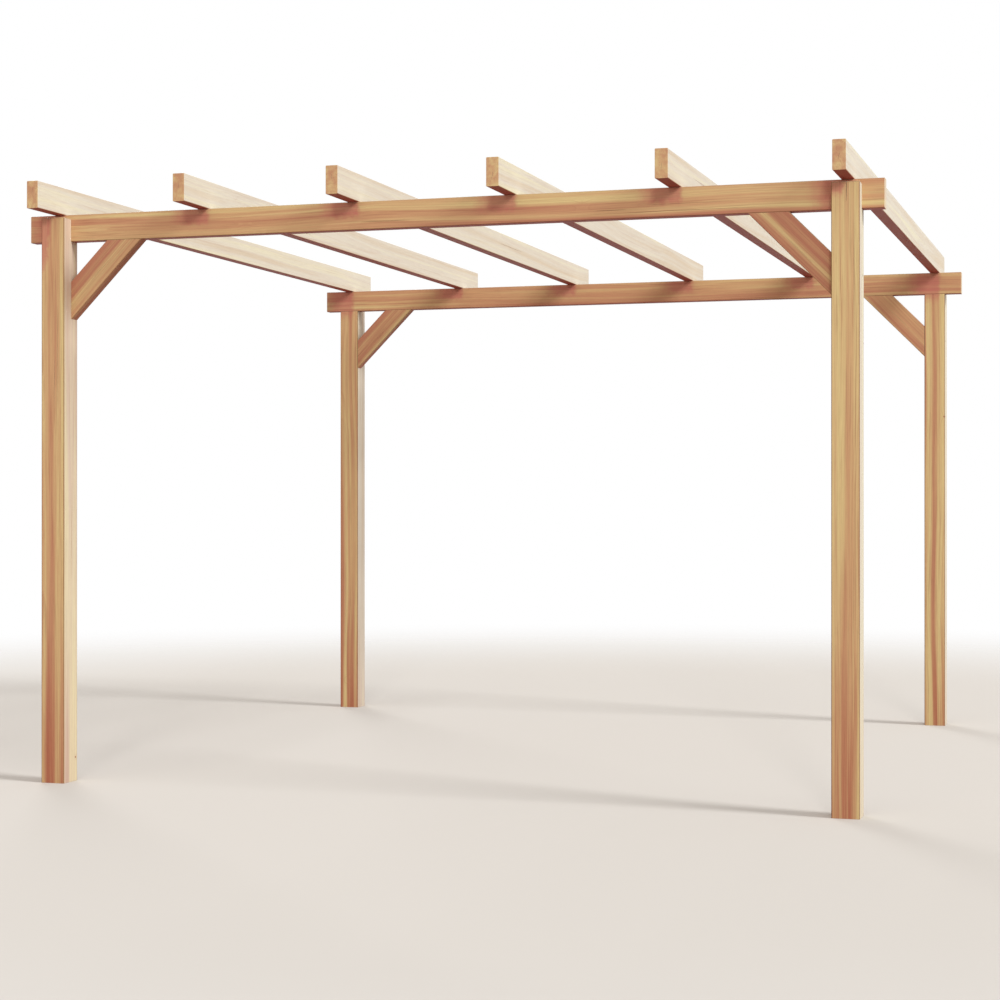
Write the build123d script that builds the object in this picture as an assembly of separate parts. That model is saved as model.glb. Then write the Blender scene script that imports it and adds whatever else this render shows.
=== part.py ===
from build123d import *
import os

os.makedirs("parts", exist_ok=True)

# A free-standing garden pergola: four square posts, two beams let into the posts, six rafters laid on
# the beams and four knee braces. All sizes are in mm. X runs along the beams, Y from the front to the
# back and Z up. The origin is on the ground at the middle of the plan.

# Driving sizes
beam_length = 3200
rafter_length = 3200
clear_height = 2020  # ground to the underside of the beams
post_side = 95
timber_thickness = 45  # beams, rafters and braces are sawn from one section
timber_depth = 100
beam_overhang = 75  # beam end past the outer side of a post
rafter_overhang = 140  # rafter end past the front or the back of the posts
rafter_count = 6
post_drop = 15  # top of a post below the top of its beam
brace_leg = 290  # reach of a brace down the post and along the beam
arris_chamfer = 3  # planed edges along every timber

# Places worked out from them
beam_top = clear_height + timber_depth
post_height = beam_top - post_drop
post_centre_x = beam_length / 2 - beam_overhang - post_side / 2
post_centre_y = rafter_length / 2 - rafter_overhang - post_side / 2
post_inner_x = post_centre_x - post_side / 2
post_inner_y = post_centre_y - post_side / 2
beam_centre_y = post_inner_y + timber_thickness / 2
rafter_pitch = 2 * post_centre_x / (rafter_count - 1)

# +1 is the right or the back, -1 the left or the front
SIDES = {"left": -1, "right": 1}
ROWS = {"front": -1, "back": 1}


def planed_timber(length, thickness, depth):
    """A timber along X, centred, with a chamfer on its four long edges."""
    timber = Box(length, thickness, depth)
    return chamfer(timber.edges().filter_by(Axis.X), arris_chamfer)


def make_post(side, row):
    # The post stands with its chamfered head up, and its foot is cut square
    post = Pos(0, 0, post_height / 2) * Box(post_side, post_side, post_height)
    head = post.faces().sort_by(Axis.Z)[-1].edges()
    post = chamfer(post.edges().filter_by(Axis.Z) + head, arris_chamfer)
    post = Pos(side * post_centre_x, row * post_centre_y, 0) * post
    # The beam's seat opens to the inner side of the post, and leaves a tongue on the outer side
    seat_height = post_height - clear_height
    seat = Box(2 * post_side, timber_thickness, 2 * seat_height)
    seat = Pos(side * post_centre_x, row * beam_centre_y, clear_height + seat_height) * seat
    return post - seat


def make_beam(row):
    beam = planed_timber(beam_length, timber_thickness, timber_depth)
    return Pos(0, row * beam_centre_y, beam_top - timber_depth / 2) * beam


def make_rafter(number):
    rafter = Rot(0, 0, 90) * planed_timber(rafter_length, timber_thickness, timber_depth)
    x = -post_centre_x + number * rafter_pitch
    return Pos(x, 0, beam_top + timber_depth / 2) * rafter


def make_brace(side, row):
    # A length of timber laid at 45 degrees, its lower long edge on the line between the two leg ends
    long_edge = brace_leg * 2**0.5
    timber = planed_timber(long_edge, timber_thickness, timber_depth)
    timber = Pos(0, 0, timber_depth / 2) * timber
    timber = Rot(0, side * 45, 0) * timber
    middle_x = side * (post_inner_x - brace_leg / 2)
    timber = Pos(middle_x, row * beam_centre_y, clear_height - brace_leg / 2) * timber
    # The corner under the beam and beside the post mitres both ends
    corner = Box(brace_leg, timber_thickness, brace_leg)
    corner = Pos(middle_x, row * beam_centre_y, clear_height - brace_leg / 2) * corner
    return timber & corner


def save(node, solid):
    export_step(solid, f"parts/{node}.step")


for row_name, row in ROWS.items():
    save(f"beam_{row_name}", make_beam(row))
    for side_name, side in SIDES.items():
        save(f"post_{row_name}_{side_name}", make_post(side, row))
        save(f"brace_{row_name}_{side_name}", make_brace(side, row))

for number in range(rafter_count):
    save(f"rafter_{number + 1}", make_rafter(number))
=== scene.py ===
import math
import random

import bmesh
import bpy
from mathutils import Matrix, Vector


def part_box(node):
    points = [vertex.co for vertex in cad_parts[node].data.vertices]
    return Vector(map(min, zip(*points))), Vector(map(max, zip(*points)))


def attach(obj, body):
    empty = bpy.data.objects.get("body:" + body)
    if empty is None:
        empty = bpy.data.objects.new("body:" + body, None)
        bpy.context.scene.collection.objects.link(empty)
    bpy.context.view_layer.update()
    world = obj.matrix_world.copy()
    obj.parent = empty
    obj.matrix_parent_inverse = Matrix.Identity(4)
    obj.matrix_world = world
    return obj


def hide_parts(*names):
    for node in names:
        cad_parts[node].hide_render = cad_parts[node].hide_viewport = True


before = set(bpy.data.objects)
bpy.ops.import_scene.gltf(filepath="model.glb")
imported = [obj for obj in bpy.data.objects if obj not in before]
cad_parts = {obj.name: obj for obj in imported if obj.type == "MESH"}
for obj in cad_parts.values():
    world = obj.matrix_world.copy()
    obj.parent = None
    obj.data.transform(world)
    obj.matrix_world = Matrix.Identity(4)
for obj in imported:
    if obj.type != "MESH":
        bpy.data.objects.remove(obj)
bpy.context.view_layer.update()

# A pergola in planed and oiled larch. The frame is in metres, and settings that end in Mm are in mm.
mm = 0.001
right = Vector((1, 0, 0))
back = Vector((0, 1, 0))
up = Vector((0, 0, 1))
chance = random.Random(11)  # the same draw each run


# A colour as a picker shows it, turned to the linear values that Blender mixes
def hexToLinear(code):
    channels = [int(code[i:i + 2], 16) / 255 for i in (1, 3, 5)]
    return [c / 12.92 if c <= 0.04045 else ((c + 0.055) / 1.055) ** 2.4 for c in channels] + [1]


# Adds one node, with its settings, what its inputs hold or take in, and for a colour ramp its stops, the
# two at its ends first
def addNode(tree, kind, settings=None, inputs=None, stops=None):
    node = tree.nodes.new("ShaderNode" + kind)
    for name, value in (settings or {}).items():
        setattr(node, name, value)
    for name, value in (inputs or {}).items():
        if isinstance(value, bpy.types.Node):
            value = value.outputs[0]
        if isinstance(value, bpy.types.NodeSocket):
            tree.links.new(value, node.inputs[name])
        else:
            node.inputs[name].default_value = value
    for number, (place, colour) in enumerate(stops or []):
        elements = node.color_ramp.elements
        stop = elements[number] if number < len(elements) else elements.new(place)
        stop.position = place
        stop.color = hexToLinear(colour) if isinstance(colour, str) else (colour, colour, colour, 1)
    return node


def newMaterial(name):
    material = bpy.data.materials.new(name)
    material.use_nodes = True
    material.node_tree.nodes.clear()
    return material


# Larch, sawn, planed and oiled: soft bands from red-brown to yellow with fine darker rings, pale and dry
# where the sun bleaches it, painted paler still as lit on the sides that face right, with red painted
# shadows under the rafters and deep red painted shade underneath
larch = {
    "oiled": ("#B57A60", "#C79C73", "#D8C28B"),  # red-brown heart, through tan, to yellow near the sapwood
    "bleachedAndLit": ("#CABFA9", "#CFCABC", "#D5D0B7"),  # the same where the sun has bleached it, and painted light on the sides that face right
    "bandStops": (0.34, 0.5, 0.68),
    "damp": "#AC684F",  # the heart where the feet draw up water
    "rafterShadow": "#BC6862",  # painted shadow of the rafters, on the beams and the post heads
    "lateWood": "#A3674D",  # the dark side of each ring
    "streak": "#935441",
    "knot": ("#5C3526", "#96593E"),  # its rim and its heart
    "knotStops": (0.35, 0.95),
    "shaded": "#A04742",  # undersides
    "arris": "#7F5530",  # painted shade along the rounded edges
    "thirsty": "#CFAE82",  # end grain, which dries out first

    # Patterns along the grain: their length and width in mm, how rough and how bent they are
    "bands": (2600, 30, 0.55, 0.25),
    "streaks": (420, 4.5, 0.45, 0.0),
    "fibre": (60, 1.1, 0.6, 0.0),  # drawn about twenty times as coarse as it is, or it wouldn't show
    "planerMm": 6,  # cutter marks, drawn about three times as coarse as they are, or they wouldn't show
    "pithWandersMm": (1250, 30),  # over what length, and how far
    "knotGapMm": 900,
    "knotMm": 7,
    "knotEdge": (1.2, 0.7),  # where its edge begins and where it is complete, as shares of its radius
    "knotPullMm": 45,  # how far round it the rings are pushed out

    "ringMm": 4.2,
    # Across one ring, its two ends first
    "ringShades": ((0.0, 0.0), (1.0, 0.05), (0.5, 0.12), (0.86, 0.85), (0.94, 1.0)),
    "ringRise": 0.006,  # how far a ring moves outwards in each metre of the log, in metres
    "rippleMm": 3,
    "ripplesPerMetre": (3.5, 45, 45),  # along the log and both ways across it
    "unevenRings": 2.5,  # how many rings they shift where their width varies
    "unevenPerMetre": 60,
    "faintYears": 0.12,  # how dark the faintest rings get
    "yearsPerMetre": 110,

    # Where on its own noise each pattern begins, and where it is complete
    "heartStops": (0.6, 0.42),
    "streakStops": (0.56, 0.78),
    "fibreStops": (0.25, 0.75),
    "yearStops": (0.35, 0.7),

    # Which way each kind of side faces, how squarely where it begins and where it is complete, and how much
    # it is seen
    # The sunny sides are bleached, and also painted paler as light falling from the right
    "sunnySides": ("X", 0.3, 0.95, 0.95),
    "tops": ("Z", 0.3, 0.95, 0.8),
    "undersides": ("Z", -0.6, -0.95, 0.92),
    "openSides": ("Z", -0.55, -0.15, 1.0),  # all but the undersides
    "frontSides": ("Y", 0.6, -0.6, 1.0),  # all but those that face the back

    # How much each is seen
    "ringsSeen": (0.3, 0.6),  # on the long faces, and on end grain
    "streaksSeen": 0.55,
    "fadedSeen": 0.32,  # rings and streaks where the wood is bleached or painted as lit
    "shadowSeen": 0.65,
    "backShadowSeen": 0.35,  # the share of the painted shadow that is left on a side that faces the back
    "dampSeen": 0.85,
    "dampKeepsPale": 0.85,  # the share of its bleaching and painted light that soaked wood keeps
    "endPaler": 0.36,
    "fibreShades": (0.88, 1.09),

    "dampMm": 600,  # how high the damp climbs
    "shadowMm": (-140, 30),  # how far the painted shadow reaches to the left and right of its rafter's middle
    "shadowDeepMm": (52, 120),  # how far down a beam it runs, and how far just beside a post
    "besidePostMm": 130,
    "headShadowMm": (220, 24),  # how far down a post's head it runs at most, and how far left it sits there
    "headShadowSlant": 0.15,  # how it moves left on its way down
    "shadowAcross": ((0.0, 0.0), (1.0, 0.0), (0.4, 1.0), (0.9, 1.0)),  # left to right, its two ends first
    "shadowEnds": (1.3, 0.7),  # where it is gone and where it is still whole, as shares of its depth
    "raggedMm": 30,
    "raggedPerMetre": 60,

    "roughness": (0.48, 0.68),
    "ior": 1.5,
    "shine": 0.2,  # the oil has sunk in
    "reliefMm": 0.3,
    "ringRelief": 0.6,
    "planerRelief": 0.05,
    "bump": 0.5,
}


# Where a point lies in its log: how far along, and beside the pith, which wanders a little
def placeInLog(tree):
    length, reach = larch["pithWandersMm"]
    reach *= mm
    place = addNode(tree, "Attribute", {"attribute_name": "grain"}).outputs["Vector"]
    along = addNode(tree, "SeparateXYZ", None, {0: place}).outputs["X"]
    wander = addNode(tree, "TexNoise", {"noise_dimensions": "1D"},
                     {"W": along, "Scale": 1000 / length, "Detail": 1.0})
    shift = addNode(tree, "VectorMath", {"operation": "MULTIPLY_ADD"},
                    {0: wander.outputs["Color"], 1: (0, reach, reach), 2: (0, -reach / 2, -reach / 2)})
    inLog = addNode(tree, "VectorMath", {"operation": "ADD"}, {0: place, 1: shift})
    beside = addNode(tree, "VectorMath", {"operation": "MULTIPLY"}, {0: inLog, 1: (0, 1, 1)})
    return along, inLog, beside


# Branches run straight out from the pith, one in each stretch of the log. Gives how much a point belongs
# to a branch, and how far the rings are pushed out round it
def growBranches(tree, along, beside):
    branch = addNode(tree, "TexVoronoi", {"voronoi_dimensions": "1D"},
                     {"W": along, "Scale": 1000 / larch["knotGapMm"], "Randomness": 0.9})
    draw = addNode(tree, "SeparateColor", None, {0: branch.outputs["Color"]})
    turn = addNode(tree, "Math", {"operation": "MULTIPLY"}, {0: draw.outputs["Red"], 1: 2 * math.pi})
    way = addNode(tree, "CombineXYZ", None, {
        "Y": addNode(tree, "Math", {"operation": "COSINE"}, {0: turn}),
        "Z": addNode(tree, "Math", {"operation": "SINE"}, {0: turn})})
    lateral = addNode(tree, "VectorMath", {"operation": "LENGTH"}, {
        0: addNode(tree, "VectorMath", {"operation": "CROSS_PRODUCT"}, {0: beside, 1: way})})
    lengthwise = addNode(tree, "Math", {"operation": "MULTIPLY"},
                         {0: branch.outputs["Distance"], 1: larch["knotGapMm"] * mm})
    # A branch grows on one side of the pith, so a point on the other side counts as a metre away
    outwards = addNode(tree, "VectorMath", {"operation": "DOT_PRODUCT"}, {0: beside, 1: way})
    otherSide = addNode(tree, "Math", {"operation": "LESS_THAN"}, {0: outwards.outputs["Value"], 1: 0.0})
    away = addNode(tree, "VectorMath", {"operation": "LENGTH"}, {
        0: addNode(tree, "CombineXYZ", None, {
            "X": lengthwise, "Y": lateral.outputs["Value"], "Z": otherSide})}).outputs["Value"]
    radius = addNode(tree, "Math", {"operation": "MULTIPLY"},
                     {0: draw.outputs["Green"], 1: larch["knotMm"] * mm})
    rim, core = larch["knotEdge"]
    knot = addNode(tree, "MapRange", {"interpolation_type": "SMOOTHSTEP"}, {
        "Value": away,
        "From Min": addNode(tree, "Math", {"operation": "MULTIPLY"}, {0: radius, 1: rim}),
        "From Max": addNode(tree, "Math", {"operation": "MULTIPLY"}, {0: radius, 1: core})})
    pull = addNode(tree, "MapRange", {"interpolation_type": "SMOOTHERSTEP"}, {
        "Value": away, "From Min": larch["knotPullMm"] * mm, "From Max": 0.0,
        "To Max": larch["knotMm"] * mm})
    return knot, pull


# Growth rings, uneven in width and darkness, slowly rising along the log
def growRings(tree, along, inLog, beside, pull):
    radius = addNode(tree, "VectorMath", {"operation": "LENGTH"}, {0: beside}).outputs["Value"]
    ripple = addNode(tree, "TexNoise", None, {
        "Vector": addNode(tree, "VectorMath", {"operation": "MULTIPLY"},
                          {0: inLog, 1: larch["ripplesPerMetre"]}),
        "Scale": 1.0, "Detail": 2.0})
    place = addNode(tree, "Math", {"operation": "MULTIPLY_ADD"},
                    {0: ripple, 1: larch["rippleMm"] * mm, 2: radius})
    place = addNode(tree, "Math", {"operation": "ADD"}, {0: place, 1: pull})
    place = addNode(tree, "Math", {"operation": "MULTIPLY_ADD"}, {0: along, 1: larch["ringRise"], 2: place})
    uneven = addNode(tree, "TexNoise", {"noise_dimensions": "1D"},
                     {"W": place, "Scale": larch["unevenPerMetre"], "Detail": 1.0})
    shifted = addNode(tree, "Math", {"operation": "MULTIPLY"}, {0: uneven, 1: larch["unevenRings"]})
    count = addNode(tree, "Math", {"operation": "MULTIPLY_ADD"},
                    {0: place, 1: 1000 / larch["ringMm"], 2: shifted})
    ring = addNode(tree, "ValToRGB", None, {0: addNode(tree, "Math", {"operation": "FRACT"}, {0: count})},
                   larch["ringShades"])
    years = addNode(tree, "TexNoise", {"noise_dimensions": "1D"},
                    {"W": place, "Scale": larch["yearsPerMetre"], "Detail": 0.0})
    faint, dark = larch["yearStops"]
    strength = addNode(tree, "MapRange", None, {
        "Value": years, "From Min": faint, "From Max": dark, "To Min": larch["faintYears"], "To Max": 1.0})
    return addNode(tree, "Math", {"operation": "MULTIPLY"}, {0: ring, 1: strength})


# How far each side is bleached by the sun or painted paler as lit from the right, how much it is an
# underside, and how damp it is towards its foot
def weatherAndLight(tree):
    facing = addNode(tree, "SeparateXYZ", None, {0: addNode(tree, "NewGeometry").outputs["Normal"]})
    sunny, top, under, notUnder = (addNode(tree, "MapRange", None, {
        "Value": facing.outputs[way], "From Min": begun, "From Max": complete, "To Max": seen})
        for way, begun, complete, seen in (
            larch["sunnySides"], larch["tops"], larch["undersides"], larch["openSides"]))
    spot = addNode(tree, "TexCoord").outputs["Object"]
    height = addNode(tree, "SeparateXYZ", None, {0: spot}).outputs["Z"]
    damp = addNode(tree, "MapRange", {"interpolation_type": "SMOOTHSTEP"}, {
        "Value": height, "From Min": larch["dampMm"] * mm, "From Max": 0.0, "To Max": larch["dampSeen"]})
    kept = addNode(tree, "MapRange", None, {"Value": damp, "To Min": 1.0, "To Max": larch["dampKeepsPale"]})
    bleachAndLightShare = addNode(tree, "Attribute", {"attribute_name": "bleachAndLightShare"}).outputs["Fac"]
    # The sides that face right are painted paler as if lit, on top of the sun's bleaching of them and of
    # the tops
    bleachAndLight = addNode(tree, "Math", {"operation": "MAXIMUM"}, {0: sunny, 1: top})
    for share in (notUnder, kept, bleachAndLightShare):
        bleachAndLight = addNode(tree, "Math", {"operation": "MULTIPLY"}, {0: bleachAndLight, 1: share})
    return bleachAndLight, under, damp


# Painted shadows of the rafters, in red, where they cross the beams, drawn out to the left along the grain
# and running further down beside a post. On a post's head they follow its left edge, and how far is the
# timber's own. Sides that face the back get less of this painted shadow
def paintRafterShadows(tree):
    rafterLow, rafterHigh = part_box("rafter_1")
    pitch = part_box("rafter_2")[0].x - rafterLow.x
    postLow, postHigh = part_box("post_back_right")
    left, rightEnd = (reach * mm for reach in larch["shadowMm"])
    deep, deepBeside = (reach * mm for reach in larch["shadowDeepMm"])
    headDeep, headLeft = (reach * mm for reach in larch["headShadowMm"])
    ragged = larch["raggedMm"] * mm

    spot = addNode(tree, "TexCoord").outputs["Object"]
    noise = addNode(tree, "TexNoise", None,
                    {"Vector": spot, "Scale": larch["raggedPerMetre"], "Detail": 2.0})
    shift = addNode(tree, "VectorMath", {"operation": "MULTIPLY_ADD"},
                    {0: noise.outputs["Color"], 1: (ragged, 0, ragged), 2: (-ragged / 2, 0, -ragged / 2)})
    place = addNode(tree, "SeparateXYZ", None, {
        0: addNode(tree, "VectorMath", {"operation": "ADD"}, {0: spot, 1: shift})})
    offMiddle, outwards = (addNode(tree, "Math", {"operation": "ABSOLUTE"}, {0: place.outputs[way]})
                           for way in ("X", "Y"))
    below = addNode(tree, "Math", {"operation": "SUBTRACT"}, {0: rafterLow.z, 1: place.outputs["Z"]})
    shadowedByRafters = addNode(tree, "Attribute", {"attribute_name": "shadowedByRafters"}).outputs["Fac"]

    # How far to the left or right of its rafter's middle a point lies, and whether the painted shadow gets
    # there
    onHead = addNode(tree, "MapRange", None, {
        "Value": outwards, "From Min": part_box("beam_back")[1].y, "From Max": postHigh.y})
    leftwards = addNode(tree, "Math", {"operation": "MULTIPLY_ADD"},
                        {0: below, 1: larch["headShadowSlant"], 2: headLeft})
    across = addNode(tree, "Math", {"operation": "MULTIPLY_ADD"},
                     {0: onHead, 1: leftwards, 2: place.outputs["X"]})
    fromFirst = addNode(tree, "Math", {"operation": "SUBTRACT"},
                        {0: across, 1: (rafterLow.x + rafterHigh.x) / 2})
    offset = addNode(tree, "Math", {"operation": "WRAP"}, {0: fromFirst, 1: pitch / 2, 2: -pitch / 2})
    reached = addNode(tree, "MapRange", None, {"Value": offset, "From Min": left, "From Max": rightEnd})
    near = addNode(tree, "ValToRGB", None, {0: reached}, larch["shadowAcross"])

    # How far down it runs there
    onBeam = addNode(tree, "MapRange", None, {
        "Value": offMiddle, "From Min": postLow.x - larch["besidePostMm"] * mm, "From Max": postLow.x,
        "To Min": deep, "To Max": deepBeside})
    onThisHead = addNode(tree, "Math", {"operation": "MULTIPLY"}, {0: shadowedByRafters, 1: headDeep})
    depth = addNode(tree, "Mix", {"data_type": "FLOAT"}, {0: onHead, 2: onBeam, 3: onThisHead})
    fallen = addNode(tree, "Math", {"operation": "DIVIDE"}, {0: below, 1: depth})
    gone, whole = larch["shadowEnds"]
    drop = addNode(tree, "MapRange", {"interpolation_type": "SMOOTHSTEP"}, {
        "Value": fallen, "From Min": gone, "From Max": whole, "To Max": larch["shadowSeen"]})

    facing = addNode(tree, "SeparateXYZ", None, {0: addNode(tree, "NewGeometry").outputs["Normal"]})
    way, begun, complete, seen = larch["frontSides"]
    exposed = addNode(tree, "MapRange", None, {
        "Value": facing.outputs[way], "From Min": begun, "From Max": complete,
        "To Min": larch["backShadowSeen"], "To Max": seen})
    rafterShadow = addNode(tree, "Math", {"operation": "CEIL"}, {0: shadowedByRafters})  # 0 on timbers that no painted shadow falls on
    # The painted shadow under the rafters
    for share in (near, drop, exposed):
        rafterShadow = addNode(tree, "Math", {"operation": "MULTIPLY"}, {0: rafterShadow, 1: share})
    return rafterShadow


def makeLarch(name):
    material = newMaterial(name)
    tree = material.node_tree
    along, inLog, beside = placeInLog(tree)
    knot, pull = growBranches(tree, along, beside)
    rings = growRings(tree, along, inLog, beside, pull)
    bleachAndLight, under, damp = weatherAndLight(tree)
    shadowedByRafters = paintRafterShadows(tree)
    tone, arris, endGrain = (addNode(tree, "Attribute", {"attribute_name": mark}).outputs["Fac"]
                             for mark in ("tone", "arris", "endGrain"))

    # Broad bands of colour, thin dark streaks and the fibre are the same noise, stretched along the grain
    bands, streaks, fibre = (addNode(tree, "TexNoise", None, {
        "Vector": addNode(tree, "VectorMath", {"operation": "MULTIPLY"},
                          {0: inLog, 1: (1000 / long, 1000 / wide, 1000 / wide)}),
        "Scale": 1.0, "Detail": 3.0, "Roughness": rough, "Distortion": bent})
        for long, wide, rough, bent in (larch["bands"], larch["streaks"], larch["fibre"]))
    bandTone = addNode(tree, "Math", {"operation": "ADD"}, {0: bands, 1: tone})
    oiled, bleachedAndLit = (addNode(tree, "ValToRGB", None, {0: bandTone},
                               [(larch["bandStops"][n], larch[state][n]) for n in (0, 2, 1)])
                       for state in ("oiled", "bleachedAndLit"))
    knotColour = addNode(tree, "ValToRGB", None, {0: knot}, zip(larch["knotStops"], larch["knot"]))
    begun, complete = larch["heartStops"]
    heart = addNode(tree, "MapRange", None, {"Value": bandTone, "From Min": begun, "From Max": complete})
    dampHeart = addNode(tree, "Math", {"operation": "MULTIPLY"}, {0: damp, 1: heart})

    # Rings and streaks are fainter where the wood is bleached, and rings plainer on end grain
    longFace, endFace = larch["ringsSeen"]
    faded = addNode(tree, "MapRange", None, {"Value": bleachAndLight, "To Min": 1.0, "To Max": larch["fadedSeen"]})
    ringsHere = addNode(tree, "MapRange", None, {"Value": endGrain, "To Min": longFace, "To Max": endFace})
    ringShare = addNode(tree, "Math", {"operation": "MULTIPLY"}, {0: rings, 1: ringsHere})
    ringShare = addNode(tree, "Math", {"operation": "MULTIPLY"}, {0: ringShare, 1: faded})
    begun, complete = larch["streakStops"]
    streak = addNode(tree, "MapRange", None, {
        "Value": streaks, "From Min": begun, "From Max": complete, "To Max": larch["streaksSeen"]})
    streakShare = addNode(tree, "Math", {"operation": "MULTIPLY"}, {0: streak, 1: faded})
    thirsty = addNode(tree, "Math", {"operation": "MULTIPLY"}, {0: endGrain, 1: larch["endPaler"]})
    begun, complete = larch["fibreStops"]
    fibreShade, rough = (addNode(tree, "MapRange", None, {
        "Value": fibre, "From Min": begun, "From Max": complete, "To Min": low, "To Max": high})
        for low, high in (larch["fibreShades"], larch["roughness"]))

    wood = oiled.outputs[0]
    for blend, colour, share in (
            ("MIX", hexToLinear(larch["damp"]), dampHeart),
            # painted shadow of the rafters
            ("MIX", hexToLinear(larch["rafterShadow"]), shadowedByRafters),
            # bleached by the sun, and painted light on the sides that face right
            ("MIX", bleachedAndLit, bleachAndLight),
            ("MIX", hexToLinear(larch["lateWood"]), ringShare),
            ("MIX", hexToLinear(larch["streak"]), streakShare),
            ("MIX", knotColour, knot),
            ("MIX", hexToLinear(larch["shaded"]), under),
            # painted shade along the rounded edges
            ("MIX", hexToLinear(larch["arris"]), arris),
            ("MIX", hexToLinear(larch["thirsty"]), thirsty),
            ("MULTIPLY", fibreShade, 1.0)):
        wood = addNode(tree, "Mix", {"data_type": "RGBA", "blend_type": blend},
                       {0: share, 6: wood, 7: colour}).outputs[2]

    # The fibre stands up a little, the hard rings more, and the planer leaves shallow waves
    waves = addNode(tree, "Math", {"operation": "MULTIPLY"},
                    {0: along, 1: 2 * math.pi * 1000 / larch["planerMm"]})
    planer = addNode(tree, "Math", {"operation": "SINE"}, {0: waves})
    relief = addNode(tree, "Math", {"operation": "MULTIPLY_ADD"},
                     {0: rings, 1: larch["ringRelief"], 2: fibre})
    relief = addNode(tree, "Math", {"operation": "MULTIPLY_ADD"},
                     {0: planer, 1: larch["planerRelief"], 2: relief})
    bump = addNode(tree, "Bump", None,
                   {"Strength": larch["bump"], "Distance": larch["reliefMm"] * mm, "Height": relief})
    shader = addNode(tree, "BsdfPrincipled", None, {
        "Base Color": wood, "Roughness": rough, "Normal": bump, "IOR": larch["ior"],
        "Specular IOR Level": larch["shine"]})
    addNode(tree, "OutputMaterial", None, {"Surface": shader})
    return material


larchMaterial = makeLarch("Planed and oiled larch")
print("stage: larch")


# Stainless steel, cold headed and passivated: a soft grey shine, a little cloudy
steel = {
    "clean": "#BDBAB2",
    "dull": "#9A968D",
    "cloudMm": 1.5,
    "cloudStops": (0.35, 0.62),
    "roughness": (0.28, 0.5),
    "reliefMm": 0.1,
    "bump": 0.4,
}


def makeSteel(name):
    material = newMaterial(name)
    tree = material.node_tree
    place = addNode(tree, "TexCoord").outputs["Object"]
    clouds = addNode(tree, "TexNoise", None,
                     {"Vector": place, "Scale": 1000 / steel["cloudMm"], "Detail": 3.0})
    colour = addNode(tree, "ValToRGB", None, {0: clouds},
                     zip(steel["cloudStops"], (steel["dull"], steel["clean"])))
    rough = addNode(tree, "MapRange", None,
                    {"Value": clouds, "To Min": steel["roughness"][0], "To Max": steel["roughness"][1]})
    bump = addNode(tree, "Bump", None,
                   {"Strength": steel["bump"], "Distance": steel["reliefMm"] * mm, "Height": clouds})
    shader = addNode(tree, "BsdfPrincipled", None,
                     {"Base Color": colour, "Metallic": 1.0, "Roughness": rough, "Normal": bump})
    addNode(tree, "OutputMaterial", None, {"Surface": shader})
    return material


steelMaterial = makeSteel("Cold-headed stainless steel")
print("stage: steel")


timber = {
    "arrisMm": 3,  # planed edges, rounded
    "sawnMm": 0.8,  # edges of a saw cut, just eased
    "pithMm": (45, 85),  # how far off the pith the timber was cut
    "logMetres": 400,  # the stretch of log that its place is drawn from, so that no two look alike
    "checkMm": (0.6, 1.2),  # width of a drying check
    "checkLengthMm": (140, 460),
    "checkDepthMm": 9,
    "checkToEndMm": 300,  # the middle of a check stays at least this far from the timber's ends
    "checkAcross": 0.6,  # how near an edge it may run, as a share of half the face
    "checkLeanMm": 0.5,  # how far its ends may lean to the sides
    "checkBowMm": 0.4,  # and how far they may bend to one side
    "endCheckMm": 0.9,
    "endCheckLengthMm": (22, 34),
    "endCheckDepthMm": 14,
    "endCheckAcross": 0.35,
    "endCheckTilt": 0.25,
}


# A closed solid from one flat outline, pushed through to its other side
def sawOut(outline, through):
    shape = bmesh.new()
    face = shape.faces.new([shape.verts.new(point) for point in outline])
    pushed = bmesh.ops.extrude_face_region(shape, geom=[face])["geom"]
    bmesh.ops.translate(shape, vec=through, verts=[v for v in pushed if isinstance(v, bmesh.types.BMVert)])
    bmesh.ops.recalc_face_normals(shape, faces=shape.faces)
    return shape


def runsAlong(edge, way):
    return abs((edge.verts[0].co - edge.verts[1].co).normalized().dot(way)) > 0.999


def roundEdges(shape, edges, radiusMm, segments):
    bmesh.ops.bevel(shape, geom=edges, offset=radiusMm * mm, offset_type="OFFSET", segments=segments,
                    profile=0.5, affect="EDGES", material=-1, clamp_overlap=True)


# Rounds the planed edges, and eases the edges that a saw left
def easeTimber(shape, planed):
    roundEdges(shape, planed, timber["arrisMm"], 3)
    # By now only the saw's edges still turn by more than 40 degrees
    sawn = [e for e in shape.edges if e.calc_face_angle_signed(0) > math.radians(40)]
    roundEdges(shape, sawn, timber["sawnMm"], 2)


# A place to stand something: its Z points along way and its Y along turnFrom
def standing(spot, way, turnFrom=None):
    turn = way.to_track_quat("Z", "Y").to_matrix()
    if turnFrom is not None:
        turn = Matrix((turnFrom.cross(way), turnFrom, way)).transposed()
    return Matrix.Translation(spot) @ turn.to_4x4()


# A draw between most and as much the other way
def between(most):
    return chance.uniform(-most, most)


# A drying check: a long thin lens, half sunk in the face that it opens
def addCheck(cuts, spot, outwards, way, lengthMm, widthMm, depthMm):
    made = bmesh.ops.create_uvsphere(cuts, u_segments=6, v_segments=22, radius=1)["verts"]
    bmesh.ops.scale(cuts, vec=Vector((widthMm / 2, depthMm, lengthMm / 2)) * mm, verts=made)
    lean = between(timber["checkLeanMm"]) * mm
    bow = between(timber["checkBowMm"]) * mm
    for vertex in made:
        share = vertex.co.z / (lengthMm * mm / 2)
        vertex.co.x += lean * share + bow * share * share
    bmesh.ops.transform(cuts, matrix=standing(spot, way, outwards), verts=made)


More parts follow.
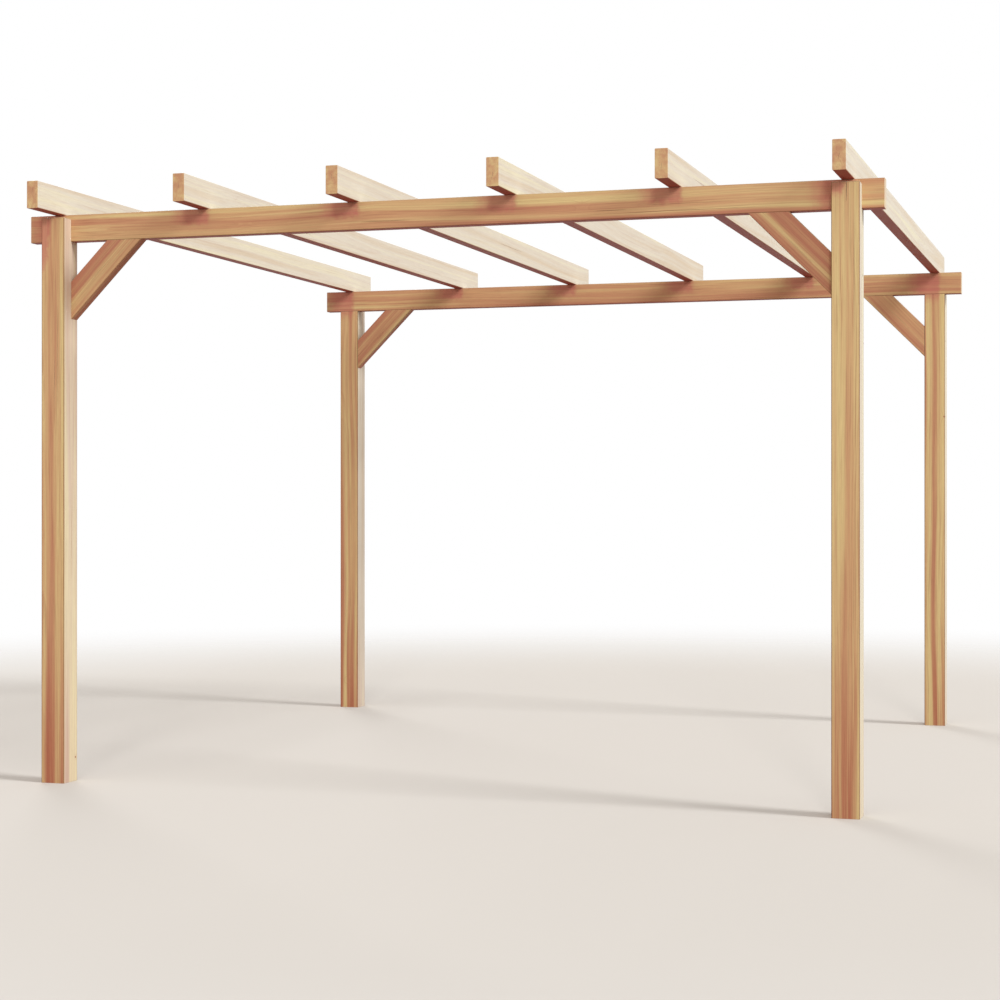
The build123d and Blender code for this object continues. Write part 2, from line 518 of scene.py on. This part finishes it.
# Checks here and there along the four long faces, and one in the grain of each end
def scatterChecks(cuts, node, axis, across, number):
    low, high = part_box(node)
    centre, half = (low + high) / 2, (high - low) / 2
    depthWay = axis.cross(across)
    reach = abs(half.dot(axis))
    sides = ((across, depthWay), (-across, depthWay), (depthWay, across), (-depthWay, across))
    for _ in range(number):
        outwards, beside = chance.choice(sides)
        spot = centre + outwards * abs(half.dot(outwards))
        spot += beside * abs(half.dot(beside)) * between(timber["checkAcross"])
        spot += axis * (reach - timber["checkToEndMm"] * mm) * between(1)
        addCheck(cuts, spot, outwards, axis, chance.uniform(*timber["checkLengthMm"]),
                 chance.uniform(*timber["checkMm"]), timber["checkDepthMm"])
    for end in (axis, -axis):
        beside = across if half.dot(across) ** 2 > half.dot(depthWay) ** 2 else depthWay
        tilt = end.cross(beside) * between(timber["endCheckTilt"])
        spot = centre + end * reach + beside * abs(half.dot(beside)) * between(timber["endCheckAcross"])
        addCheck(cuts, spot, end, (beside + tilt).normalized(), chance.uniform(*timber["endCheckLengthMm"]),
                 timber["endCheckMm"], timber["endCheckDepthMm"])


screw = {
    # Half its outline from the recess to the tip, as shares of the head's radius, across and up
    "outline": ((0, -0.42), (0.5, -0.38), (0.53, 0), (1, 0), (0.42, -0.65), (0.4, -1.9), (0, -2.0)),
    "steps": 36,
    "recess": (0.45, 0.6),  # between these shares of the radius its wall stands
    "lobes": 6,
    "lobeReach": 0.18,
    "sunkMm": 0.6,
    # The cone that cuts its hole: how far it is lifted and widened so that it clears the surface, and how
    # deep and how narrow it ends, as shares of the head's radius
    "coneLiftMm": 0.5,
    "coneLipMm": 1.3,
    "coneDeep": 0.75,
    "coneEnd": 0.25,
    "coneSegments": 32,
}


# A countersunk screw with a six-lobed recess, from a half outline spun round. The top of its head is at
# height 0
def makeScrew(headMm):
    radius = headMm / 2 * mm
    shape = bmesh.new()
    points = [shape.verts.new((across * radius, 0, level * radius)) for across, level in screw["outline"]]
    edges = [shape.edges.new(pair) for pair in zip(points, points[1:])]
    bmesh.ops.spin(shape, geom=points + edges, axis=up, cent=(0, 0, 0), angle=2 * math.pi,
                   steps=screw["steps"], use_merge=True)
    bmesh.ops.remove_doubles(shape, verts=shape.verts, dist=radius * 0.01)
    inner, outer = screw["recess"]
    for vertex in shape.verts:
        if inner < vertex.co.xy.length / radius < outer:
            turn = math.atan2(vertex.co.y, vertex.co.x)
            stretch = 1 + screw["lobeReach"] * math.cos(screw["lobes"] * turn)
            vertex.co.x, vertex.co.y = vertex.co.x * stretch, vertex.co.y * stretch
    bmesh.ops.recalc_face_normals(shape, faces=shape.faces)
    return shape


# Drives a screw: its countersunk hole goes into the cuts, and the screw sits a little under the surface
def driveScrew(cuts, driven, spot, outwards, headMm):
    radius = headMm / 2 * mm
    lip, deep = screw["coneLipMm"] * mm, radius * screw["coneDeep"]
    hole = standing(spot + outwards * (screw["coneLiftMm"] * mm - deep / 2), outwards)
    bmesh.ops.create_cone(cuts, cap_ends=True, segments=screw["coneSegments"],
                          radius1=radius * screw["coneEnd"], radius2=radius + lip,
                          depth=deep + lip, matrix=hole)
    shape = makeScrew(headMm)
    place = standing(spot - outwards * screw["sunkMm"] * mm, outwards)
    bmesh.ops.transform(shape, matrix=place, verts=shape.verts)
    mesh = bpy.data.meshes.new("screw")
    shape.to_mesh(mesh)
    shape.free()
    driven.from_mesh(mesh)
    bpy.data.meshes.remove(mesh)


def asObject(name, shape):
    mesh = bpy.data.meshes.new(name)
    shape.to_mesh(mesh)
    shape.free()
    piece = bpy.data.objects.new(name, mesh)
    bpy.context.scene.collection.objects.link(piece)
    return piece


def cutAway(piece, cuts):
    tool = asObject("cuts", cuts)
    cut = piece.modifiers.new("cut", "BOOLEAN")
    cut.operation = "DIFFERENCE"
    cut.solver = "EXACT"
    cut.object = tool
    cut.use_self = True  # some cuts cross each other
    bpy.context.view_layer.update()
    whole = piece.data
    piece.data = bpy.data.meshes.new_from_object(piece.evaluated_get(bpy.context.evaluated_depsgraph_get()))
    piece.data.name = piece.name
    piece.modifiers.clear()
    bpy.data.meshes.remove(tool.data)
    bpy.data.meshes.remove(whole)


# Cuts a timber's holes and checks, marks on it where it lay in its log, and puts it in the node's place
def finishTimber(node, shape, axis, across, settings, cuts):
    piece = asObject(node + "_timber", shape)
    cutAway(piece, cuts)
    log, tone, bleachAndLightShare, shadowedByRafters = settings["logs"][node]
    draw = random.Random(log)
    turn = draw.uniform(0, 2 * math.pi)
    offPith = draw.uniform(*timber["pithMm"]) * mm
    start = draw.uniform(0, timber["logMetres"])
    low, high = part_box(node)
    centre, depthWay = (low + high) / 2, axis.cross(across)
    mesh = piece.data
    mesh.attributes.new("grain", "FLOAT_VECTOR", "POINT")
    for name in ("endGrain", "arris", "tone", "bleachAndLightShare", "shadowedByRafters"):
        mesh.attributes.new(name, "FLOAT", "FACE")
    for vertex, item in zip(mesh.vertices, mesh.attributes["grain"].data):
        away = vertex.co - centre
        item.vector = (away.dot(axis) + start, away.dot(across) - offPith * math.cos(turn),
                       away.dot(depthWay) - offPith * math.sin(turn))
    for number, face in enumerate(mesh.polygons):
        ahead, aside, deep = (abs(face.normal.dot(way)) for way in (axis, across, depthWay))
        isRounded = ahead < 0.3 and max(aside, deep) < 0.98  # looks sideways, but to no side squarely
        for name, value in (
                ("endGrain", ahead > 0.6),  # mitres too
                ("arris", settings["arrisSeen"] * isRounded),
                ("tone", tone),
                ("bleachAndLightShare", bleachAndLightShare),
                ("shadowedByRafters", shadowedByRafters)):
            mesh.attributes[name].data[number].value = value
        face.use_smooth = True
    mesh.set_sharp_from_angle(angle=math.radians(50))
    mesh.materials.append(larchMaterial)
    piece.modifiers.new("evenShade", "WEIGHTED_NORMAL").keep_sharp = True
    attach(piece, "root")
    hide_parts(node)


screws = {name: bmesh.new() for name in ("beam_screws", "rafter_screws", "brace_screws")}
beamCuts = {"front": bmesh.new(), "back": bmesh.new()}  # the posts and braces add their screw holes first


# Every timber has a log of its own, by number, and the number settles where its bands, rings and knots lie.
# After it stand how far the wood leans towards yellow, how far it is bleached by the sun and painted paler
# as lit, and how far the painted shadow of the rafters falls on it
post = {
    "arrisSeen": 0.75,  # how dark its edges are
    "checks": 3,
    "headChecks": {"post_front_right": (3, 65, 2)},  # across from the middle of its front, length and width
    "logs": {
        "post_front_left": (88, 0.04, 0.64, 1.0),
        "post_front_right": (470, 0.03, 0.95, 0.25),
        "post_back_left": (173, 0.005, 0.95, 0.25),
        "post_back_right": (110, 0.04, 0.95, 0.25),
    },
    "headMm": 15,
    "screws": ((-22, 30), (20, 68)),  # across from the middle of the post, and up from the seat
}
brace = {
    "depthMm": 100,
    "arrisSeen": 0.2,
    "checkLengthMm": (80, 170),
    "checkAcross": (0.3, 0.7),  # from its lower side, as a share of its depth
    "logs": {
        "brace_front_left": (244, -0.12, 1.0, 0.0),
        "brace_front_right": (175, -0.07, 1.0, 0.0),
        "brace_back_left": (420, -0.07, 1.0, 0.0),
        "brace_back_right": (416, -0.08, 1.0, 0.0),
    },
    "headMm": 12,
}
mitre = brace["depthMm"] * mm * math.sqrt(2)  # how far a brace's end reaches along what it meets


# A post with the seat of its beam cut from the inner side, and a tongue left standing outside
def makePost(row, side):
    node = "post_%s_%s" % (row, side)
    low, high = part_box(node)
    beamLow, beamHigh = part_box("beam_" + row)
    isFront = row == "front"
    outerY, tongueY, innerY = (low.y, beamLow.y, high.y) if isFront else (high.y, beamHigh.y, low.y)
    outline = [Vector((low.x, y, z)) for y, z in (
        (outerY, low.z), (innerY, low.z), (innerY, beamLow.z), (tongueY, beamLow.z),
        (tongueY, high.z), (outerY, high.z))]
    shape = sawOut(outline, right * (high.x - low.x))
    head = [e for e in shape.edges if all(abs(v.co.z - high.z) < mm for v in e.verts)]
    upright = [e for e in shape.edges
               if runsAlong(e, up) and not all(abs(v.co.y - tongueY) < mm for v in e.verts)]
    easeTimber(shape, head + upright)
    cuts = bmesh.new()
    scatterChecks(cuts, node, up, right, post["checks"])
    middleX = (low.x + high.x) / 2
    # A check that opens at the top of the head is the lower half of one twice as long
    if node in post["headChecks"]:
        across, length, width = post["headChecks"][node]
        spot = Vector((middleX + across * mm, low.y, high.z))
        addCheck(cuts, spot, -back, up, 2 * length, width, timber["checkDepthMm"])
    # The screws go in from behind, through the beam in front and through the tongue at the back
    for across, rise in post["screws"]:
        spot = Vector((middleX + across * mm, high.y, beamLow.z + rise * mm))
        driveScrew(beamCuts[row] if isFront else cuts, screws["beam_screws"], spot, back, post["headMm"])
    # One more goes in from the outer side, into the end of the brace
    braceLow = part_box("brace_%s_%s" % (row, side))[0]
    outerX, outwards = (high.x, right) if side == "right" else (low.x, -right)
    spot = Vector((outerX, (beamLow.y + beamHigh.y) / 2, braceLow.z + mitre / 2))
    driveScrew(cuts, screws["brace_screws"], spot, outwards, brace["headMm"])
    finishTimber(node, shape, up, right, post, cuts)


# A brace, mitred to the post's inner side and to the beam's underside
def makeBrace(row, side):
    node = "brace_%s_%s" % (row, side)
    low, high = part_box(node)
    postX, farX = (high.x, low.x) if side == "right" else (low.x, high.x)
    inwards = math.copysign(1, farX - postX)
    short = high.z - low.z - mitre
    outline = [Vector((x, low.y, z)) for x, z in (
        (postX, low.z), (farX, high.z), (postX + inwards * short, high.z), (postX, high.z - short))]
    shape = sawOut(outline, back * (high.y - low.y))
    slope = Vector((inwards, 0, 1)).normalized()
    easeTimber(shape, [e for e in shape.edges if runsAlong(e, slope)])
    # A screw goes down through the beam into its upper end
    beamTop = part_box("beam_" + row)[1].z
    spot = Vector((farX - inwards * mitre / 2, (low.y + high.y) / 2, beamTop))
    driveScrew(beamCuts[row], screws["brace_screws"], spot, up, brace["headMm"])
    cuts = bmesh.new()
    towardsCorner = Vector((-inwards, 0, 1)).normalized()
    rise = brace["depthMm"] * mm * chance.uniform(*brace["checkAcross"])
    spot = (low + high) / 2 + towardsCorner * rise
    spot.y = low.y
    addCheck(cuts, spot, -back, slope, chance.uniform(*brace["checkLengthMm"]), timber["checkMm"][0],
             timber["checkDepthMm"])
    finishTimber(node, shape, slope, back, brace, cuts)


beam = {
    "arrisSeen": 0.3,
    "checks": 3,
    # Along from the middle, up from the underside, length, width and depth
    "frontChecks": ((-170, 27, 190, 1.2, 7), (660, 30, 110, 1.2, 7)),
    "logs": {"beam_front": (141, 0.0, 1.0, 1.0), "beam_back": (13, -0.02, 1.0, 1.0)},
}


# A square-cut beam, with the holes of the screws that go in through it
def makeBeam(row):
    node = "beam_" + row
    low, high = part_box(node)
    outline = [Vector((low.x, y, z)) for y, z in (
        (low.y, low.z), (high.y, low.z), (high.y, high.z), (low.y, high.z))]
    shape = sawOut(outline, right * (high.x - low.x))
    easeTimber(shape, [e for e in shape.edges if runsAlong(e, right)])
    scatterChecks(beamCuts[row], node, right, back, beam["checks"])
    if row == "front":
        for along, rise, *size in beam["frontChecks"]:
            spot = Vector((along * mm, low.y, low.z + rise * mm))
            addCheck(beamCuts[row], spot, -back, right, *size)
    finishTimber(node, shape, right, back, beam, beamCuts[row])


rafter = {
    "arrisSeen": 0.1,
    "checks": 2,
    "logs": {"rafter_%d" % number: (10 + number, 0.0, 1.0, 0.0) for number in range(1, 7)},
    "headMm": 15,
}


# A rafter, screwed down into the middle of each beam
def makeRafter(node):
    low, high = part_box(node)
    outline = [Vector((x, low.y, z)) for x, z in (
        (low.x, low.z), (high.x, low.z), (high.x, high.z), (low.x, high.z))]
    shape = sawOut(outline, back * (high.y - low.y))
    easeTimber(shape, [e for e in shape.edges if runsAlong(e, back)])
    cuts = bmesh.new()
    scatterChecks(cuts, node, back, right, rafter["checks"])
    for row in ("front", "back"):
        beamLow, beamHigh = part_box("beam_" + row)
        spot = Vector(((low.x + high.x) / 2, (beamLow.y + beamHigh.y) / 2, high.z))
        driveScrew(cuts, screws["rafter_screws"], spot, up, rafter["headMm"])
    finishTimber(node, shape, back, right, rafter, cuts)


for row in ("front", "back"):
    for side in ("left", "right"):
        makePost(row, side)
        makeBrace(row, side)
    makeBeam(row)
for node in rafter["logs"]:
    makeRafter(node)
print("stage: timbers")

for name, shape in screws.items():
    piece = asObject(name, shape)
    piece.data.materials.append(steelMaterial)
    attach(piece, "root")
print("stage: screws")


studio = {
    "dome": "#FAF3EE",
    "domeLevel": 0.6,
    "floor": "#CBC8C3",
    "bounce": "#826F65",  # what the floor gives back, so that the undersides stay dark
    "floorRadius": 9.0,
    "floorFade": (3.5, 8.8),
    # Level, the way it comes from as azimuth and elevation, how soft it is, and its colour
    "lamps": {
        "keyRight": (0.86, 80, 32, 16, "#FFFFFF"),
        "frontFill": (0.245, 17, 16, 9, "#FFFAF6"),
        "frontSoft": (0.175, 10, 25, 80, "#FFF6EC"),
        "backFill": (0.38, 215, 25, 20, "#FFFFFF"),
    },
    "lampsAway": 6,
    "lens": 70.658,
    "sensor": 36,
    "shiftX": -0.0749,
    "cameraAt": (2.4350, -7.9283, 1.0444),
    "cameraTurn": (90.072, 0, 16.2689),
}


# 1 on the rays that the eye or a reflection follows, and 0 on the rays that light the object
def seenDirectly(tree):
    path = addNode(tree, "LightPath")
    mirrored = addNode(tree, "Math", {"operation": "MAXIMUM"},
                       {0: path.outputs["Is Glossy Ray"], 1: path.outputs["Is Transmission Ray"]})
    return addNode(tree, "Math", {"operation": "MAXIMUM"}, {0: path.outputs["Is Camera Ray"], 1: mirrored})


def makeWorld():
    world = bpy.data.worlds.new("studio")
    bpy.context.scene.world = world
    world.use_nodes = True
    tree = world.node_tree
    tree.nodes.clear()
    light = addNode(tree, "Background", None,
                    {"Color": hexToLinear(studio["dome"]), "Strength": studio["domeLevel"]})
    white = addNode(tree, "Background", None, {"Color": (1, 1, 1, 1), "Strength": 1.0})
    either = addNode(tree, "MixShader", None, {0: seenDirectly(tree), 1: light, 2: white})
    addNode(tree, "OutputWorld", None, {"Surface": either})


# Matt painted board, which fades into the white background
def makeFloor():
    shape = bmesh.new()
    bmesh.ops.create_circle(shape, cap_ends=True, segments=96, radius=studio["floorRadius"])
    floor = asObject("studio_floor", shape)
    material = newMaterial("Matt painted board")
    tree = material.node_tree
    bounce, seen = hexToLinear(studio["bounce"]), hexToLinear(studio["floor"])
    colour = addNode(tree, "Mix", {"data_type": "RGBA"}, {0: seenDirectly(tree), 6: bounce, 7: seen})
    board = addNode(tree, "BsdfDiffuse", None, {"Color": colour.outputs[2]})
    place = addNode(tree, "TexCoord").outputs["Object"]
    away = addNode(tree, "VectorMath", {"operation": "LENGTH"}, {0: place}).outputs["Value"]
    start, end = studio["floorFade"]
    fade = addNode(tree, "MapRange", {"interpolation_type": "SMOOTHSTEP"},
                   {"Value": away, "From Min": start, "From Max": end})
    clear = addNode(tree, "BsdfTransparent")
    faded = addNode(tree, "MixShader", None, {0: fade, 1: board, 2: clear})
    addNode(tree, "OutputMaterial", None, {"Surface": faded})
    floor.data.materials.append(material)


def addLamp(name, level, azimuth, elevation, spread, colour):
    lamp = bpy.data.lights.new(name, "SUN")
    lamp.energy = level * math.pi
    lamp.angle = math.radians(spread)
    lamp.color = hexToLinear(colour)[:3]
    holder = bpy.data.objects.new(name, lamp)
    turn, rise = math.radians(azimuth), math.radians(elevation)
    way = Vector((math.sin(turn) * math.cos(rise), -math.cos(turn) * math.cos(rise), math.sin(rise)))
    holder.location = way * studio["lampsAway"]
    holder.rotation_euler = way.to_track_quat("Z", "Y").to_euler()
    bpy.context.scene.collection.objects.link(holder)


def addCamera():
    camera = bpy.data.cameras.new("camera")
    camera.sensor_width = studio["sensor"]
    camera.lens = studio["lens"]
    camera.shift_x = studio["shiftX"]
    camera.dof.use_dof = False
    holder = bpy.data.objects.new("camera", camera)
    holder.location = studio["cameraAt"]
    holder.rotation_euler = [math.radians(angle) for angle in studio["cameraTurn"]]
    bpy.context.scene.collection.objects.link(holder)
    bpy.context.scene.camera = holder


makeWorld()
makeFloor()
for name, settings in studio["lamps"].items():
    addLamp(name, *settings)
addCamera()
bpy.context.scene.view_settings.view_transform = "Standard"
print("stage: studio")
